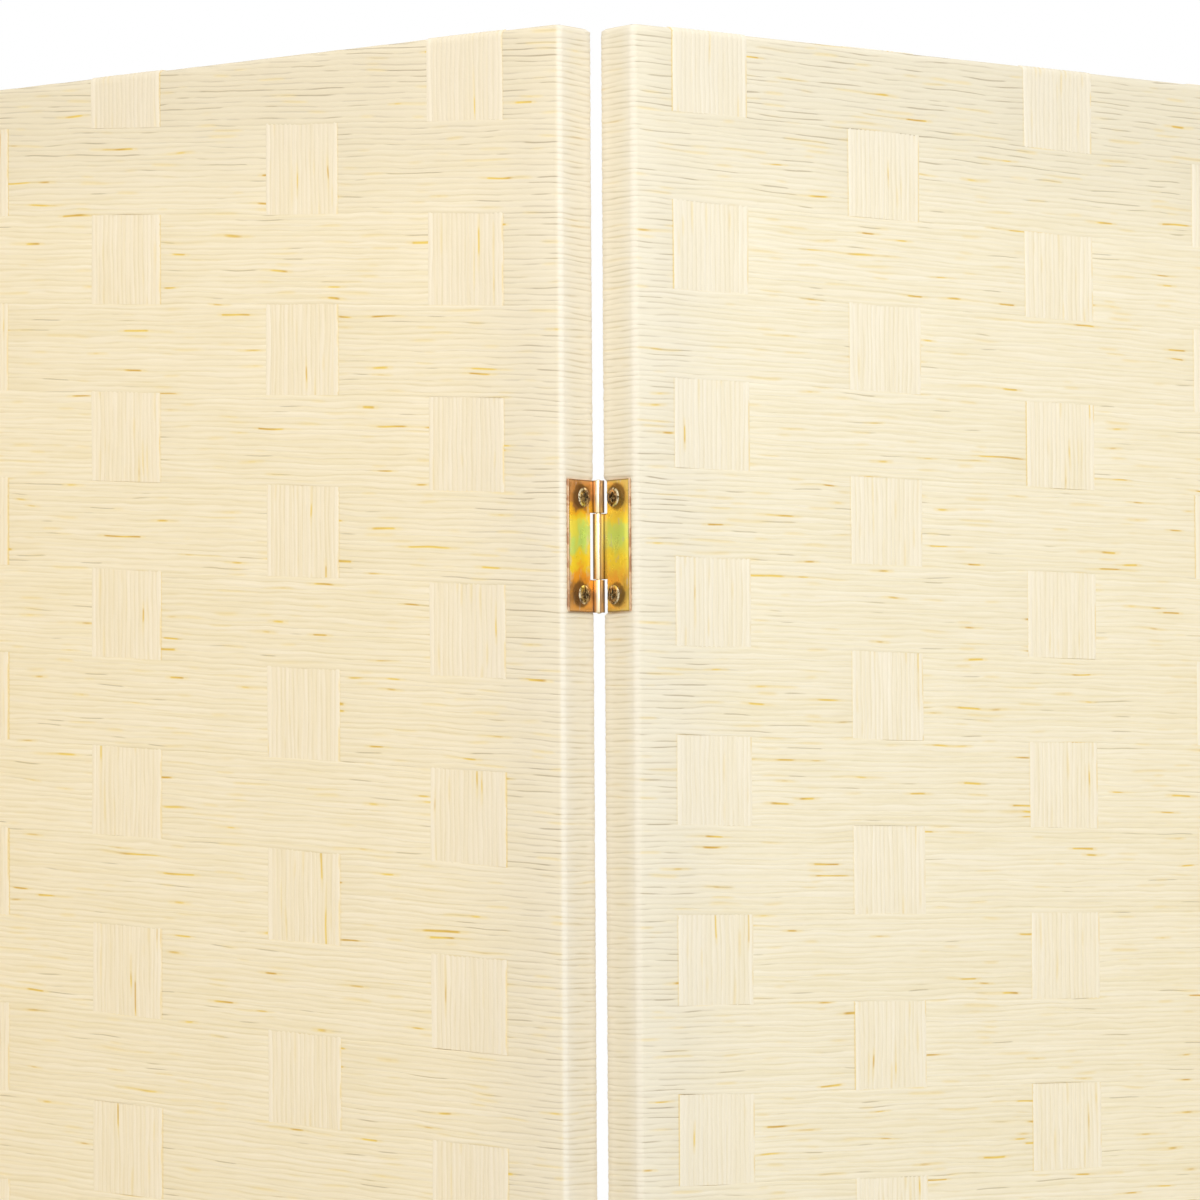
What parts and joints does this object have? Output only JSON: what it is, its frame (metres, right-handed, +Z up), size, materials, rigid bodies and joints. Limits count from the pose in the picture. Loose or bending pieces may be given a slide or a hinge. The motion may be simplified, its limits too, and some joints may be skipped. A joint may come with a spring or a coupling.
{
  "type": "folding screen",
  "caption": "Free-standing folding screen: wood frames covered with basket-woven paper cord bands, joined edge to edge by butt hinges so that the panels fold flat on each other.",
  "frame": {"origin": "on the floor, in the middle of the standing screen's box", "axes": "+Z up, +X along the row of panels, -Y towards the middle fold's ridge"},
  "size_m": [1.3146, 0.2598, 1.7],
  "materials": {
    "paper_cord": "twisted cream paper cord, matte with a faint sheen",
    "frame_wood": "planed pine, unfinished",
    "dowel_wood": "turned beech",
    "hinge_steel": "yellow iridescent passivated zinc plate",
    "screw_steel": "dark yellow passivated zinc plate"
  },
  "bodies": {
    "panel_1": {"panel_1_left_stile": "frame_wood", "panel_1_right_stile": "frame_wood", "panel_1_top_rail": "frame_wood", "panel_1_middle_rails": "frame_wood", "panel_1_bottom_rail": "frame_wood", "panel_1_dowels": "dowel_wood", "panel_1_weft_bands": "paper_cord", "panel_1_warp_bands": "paper_cord", "fold_12_top_leaf_1": "hinge_steel", "fold_12_middle_leaf_1": "hinge_steel", "fold_12_bottom_leaf_1": "hinge_steel", "fold_12_screws_1": "screw_steel"},
    "panel_2": {"panel_2_left_stile": "frame_wood", "panel_2_right_stile": "frame_wood", "panel_2_top_rail": "frame_wood", "panel_2_middle_rails": "frame_wood", "panel_2_bottom_rail": "frame_wood", "panel_2_dowels": "dowel_wood", "panel_2_weft_bands": "paper_cord", "panel_2_warp_bands": "paper_cord", "fold_12_top_leaf_2": "hinge_steel", "fold_12_middle_leaf_2": "hinge_steel", "fold_12_bottom_leaf_2": "hinge_steel", "fold_12_screws_2": "screw_steel", "fold_12_pins": "hinge_steel", "fold_23_top_leaf_2": "hinge_steel", "fold_23_middle_leaf_2": "hinge_steel", "fold_23_bottom_leaf_2": "hinge_steel", "fold_23_screws_2": "screw_steel", "fold_23_pins": "hinge_steel"},
    "panel_3": {"panel_3_left_stile": "frame_wood", "panel_3_right_stile": "frame_wood", "panel_3_top_rail": "frame_wood", "panel_3_middle_rails": "frame_wood", "panel_3_bottom_rail": "frame_wood", "panel_3_dowels": "dowel_wood", "panel_3_weft_bands": "paper_cord", "panel_3_warp_bands": "paper_cord", "fold_23_top_leaf_3": "hinge_steel", "fold_23_middle_leaf_3": "hinge_steel", "fold_23_bottom_leaf_3": "hinge_steel", "fold_23_screws_3": "screw_steel", "fold_34_top_leaf_3": "hinge_steel", "fold_34_middle_leaf_3": "hinge_steel", "fold_34_bottom_leaf_3": "hinge_steel", "fold_34_screws_3": "screw_steel", "fold_34_pins": "hinge_steel"},
    "panel_4": {"panel_4_left_stile": "frame_wood", "panel_4_right_stile": "frame_wood", "panel_4_top_rail": "frame_wood", "panel_4_middle_rails": "frame_wood", "panel_4_bottom_rail": "frame_wood", "panel_4_dowels": "dowel_wood", "panel_4_weft_bands": "paper_cord", "panel_4_warp_bands": "paper_cord", "fold_34_top_leaf_4": "hinge_steel", "fold_34_middle_leaf_4": "hinge_steel", "fold_34_bottom_leaf_4": "hinge_steel", "fold_34_screws_4": "screw_steel"}
  },
  "joints": [
    {"name": "fold_12", "type": "hinge", "parent": "panel_2", "child": "panel_1", "pos_m": [-0.32967, 0.11647, 0.868], "axis": [0, 0, 1], "range_deg": [-76, 104]},
    {"name": "fold_23", "type": "hinge", "parent": "panel_2", "child": "panel_3", "pos_m": [0, -0.11647, 0.868], "axis": [0, 0, 1], "range_deg": [-76, 104]},
    {"name": "fold_34", "type": "hinge", "parent": "panel_3", "child": "panel_4", "pos_m": [0.32967, 0.11647, 0.868], "axis": [0, 0, 1], "range_deg": [-104, 76]}
  ]
}
